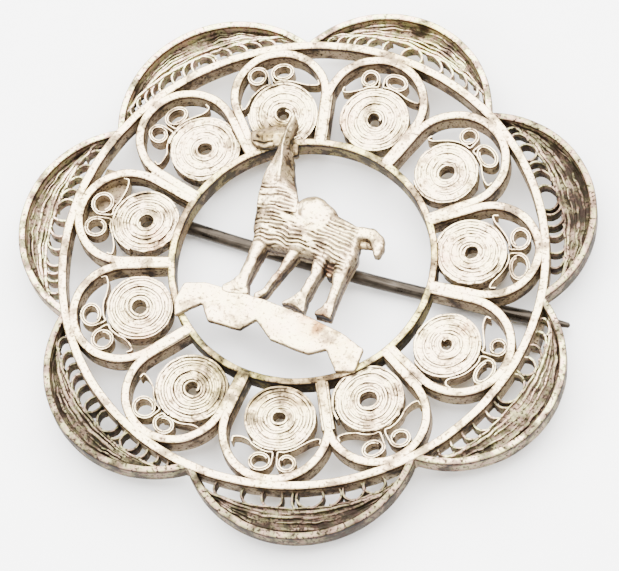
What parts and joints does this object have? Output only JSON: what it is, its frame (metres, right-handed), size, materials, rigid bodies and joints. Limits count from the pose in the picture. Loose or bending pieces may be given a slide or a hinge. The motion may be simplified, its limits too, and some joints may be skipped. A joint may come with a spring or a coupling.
{
  "type": "silver filigree brooch with a camel",
  "caption": "Round pierced silver brooch: open petals round a ring of coil cells, a camel on a strip across the middle, and a hinged pin behind.",
  "frame": {"origin": "on the table below the middle of the rings, where the brooch rests on its hinge ears and catch", "axes": "+Z out of the front, +X along the pin from its hinge to its point, +Y across the pin"},
  "size_m": [0.0404, 0.0401, 0.0044],
  "materials": {
    "silver": "worn satin silver, brown tarnish in the recesses",
    "pin_steel": "dark drawn steel wire with a worn highlight"
  },
  "bodies": {
    "brooch": {"filigree_body": "silver", "hinge_rivet": "silver"},
    "pin": {"pin_stem": "pin_steel"}
  },
  "joints": [
    {"name": "pin_hinge", "type": "hinge", "parent": "brooch", "child": "pin", "pos_m": [-0.0149, 0.00139, 0.00083], "axis": [0, 1, 0], "range_deg": [0, 80]}
  ]
}
